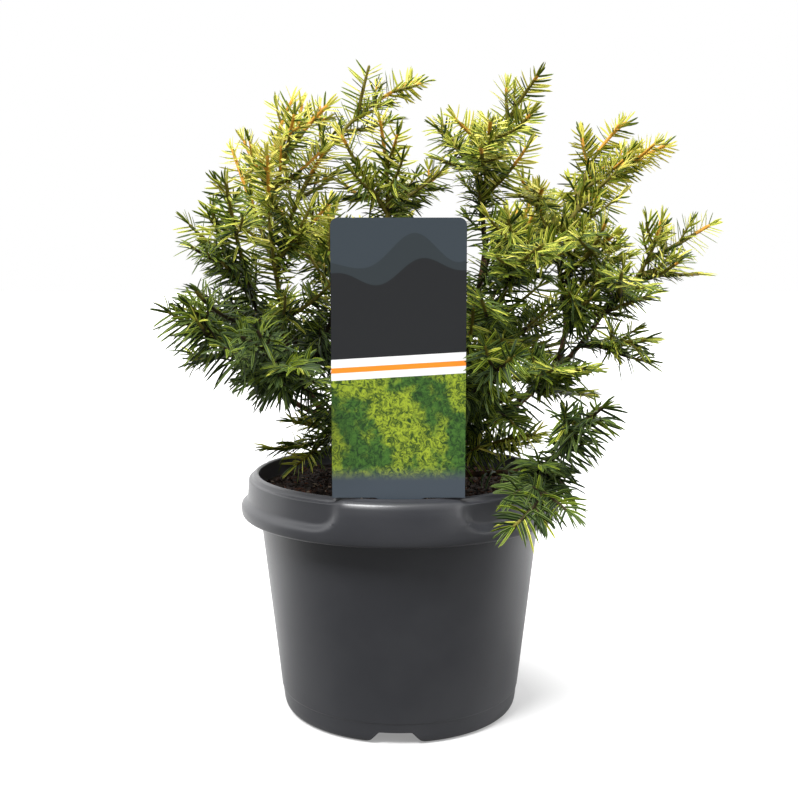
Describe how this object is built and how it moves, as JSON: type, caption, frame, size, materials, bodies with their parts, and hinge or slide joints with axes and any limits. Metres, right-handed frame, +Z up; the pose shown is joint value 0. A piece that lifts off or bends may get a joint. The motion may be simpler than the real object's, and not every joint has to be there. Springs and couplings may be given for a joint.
{
  "type": "potted summergold yew",
  "caption": "Young golden yew in a round black nursery pot with a care card: spreading boughs with dense gold-tipped needles above dark peat.",
  "frame": {"origin": "middle of the pot's flat underside, on the ground", "axes": "+Z up; the care card faces -Y; +X is the viewer's right"},
  "size_m": [0.3222, 0.2391, 0.3807],
  "materials": {
    "pot_plastic": "satin moulded polypropylene",
    "potting_soil": "moist crumbly peat with bark fibre",
    "care_card": "semi-gloss printed polypropylene sheet",
    "bark": "thin scaly reddish-brown bark",
    "back_centre_needles": "satin green needles edged with gold",
    "back_inner_needles": "satin green needles edged with gold",
    "back_left_low_needles": "satin green needles edged with gold",
    "back_left_top_needles": "satin golden needles over green",
    "back_low_needles": "satin dark green needles",
    "back_right_low_needles": "satin dark green needles",
    "back_right_soil_needles": "satin dark green needles",
    "back_right_top_needles": "satin golden needles over green",
    "back_soil_needles": "satin dark green needles",
    "back_top_needles": "satin golden needles over green",
    "centre_left_needles": "satin golden needles over green",
    "centre_needles": "satin green needles edged with gold",
    "centre_right_needles": "satin golden needles over green",
    "front_inner_left_needles": "satin green needles edged with gold",
    "front_inner_right_needles": "satin green needles edged with gold",
    "front_spray_needles": "satin green needles edged with gold",
    "front_upright_needles": "satin green needles edged with gold",
    "left_back_needles": "satin green needles edged with gold",
    "left_front_needles": "satin green needles edged with gold",
    "left_inner_needles": "satin green needles edged with gold",
    "left_outer_needles": "satin golden needles over green",
    "left_top_needles": "satin golden needles over green",
    "low_inner_needles": "satin dark green needles",
    "low_left_needles": "satin green needles edged with gold",
    "low_left_twig_needles": "satin dark green needles",
    "low_right_needles": "satin dark green needles",
    "right_far_needles": "satin golden needles over green",
    "right_inner_needles": "satin green needles edged with gold",
    "right_low_needles": "satin dark green needles",
    "right_mid_needles": "satin golden needles over green",
    "right_star_needles": "satin green needles edged with gold"
  },
  "bodies": {
    "root": {"back_bough": "bark", "back_centre_mass": "back_centre_needles", "back_inner_mass": "back_inner_needles", "back_left_bough": "bark", "back_left_low_mass": "back_left_low_needles", "back_left_top_mass": "back_left_top_needles", "back_low_mass": "back_low_needles", "back_right_bough": "bark", "back_right_low_mass": "back_right_low_needles", "back_right_soil_mass": "back_right_soil_needles", "back_right_top_mass": "back_right_top_needles", "back_soil_mass": "back_soil_needles", "back_top_mass": "back_top_needles", "care_card": "care_card", "centre_left_bough": "bark", "centre_left_mass": "centre_left_needles", "centre_mass": "centre_needles", "centre_right_bough": "bark", "centre_right_mass": "centre_right_needles", "front_inner_left_mass": "front_inner_left_needles", "front_inner_right_mass": "front_inner_right_needles", "front_spray_mass": "front_spray_needles", "front_upright_mass": "front_upright_needles", "left_back_mass": "left_back_needles", "left_bough": "bark", "left_front_mass": "left_front_needles", "left_inner_mass": "left_inner_needles", "left_outer_mass": "left_outer_needles", "left_top_mass": "left_top_needles", "low_inner_mass": "low_inner_needles", "low_left_bough": "bark", "low_left_mass": "low_left_needles", "low_left_twig_mass": "low_left_twig_needles", "low_right_bough": "bark", "low_right_mass": "low_right_needles", "pot": "pot_plastic", "right_bough": "bark", "right_far_mass": "right_far_needles", "right_inner_mass": "right_inner_needles", "right_low_mass": "right_low_needles", "right_mid_mass": "right_mid_needles", "right_out_bough": "bark", "right_star_mass": "right_star_needles", "right_up_bough": "bark", "soil": "potting_soil", "trunk": "bark"}
  },
  "joints": []
}
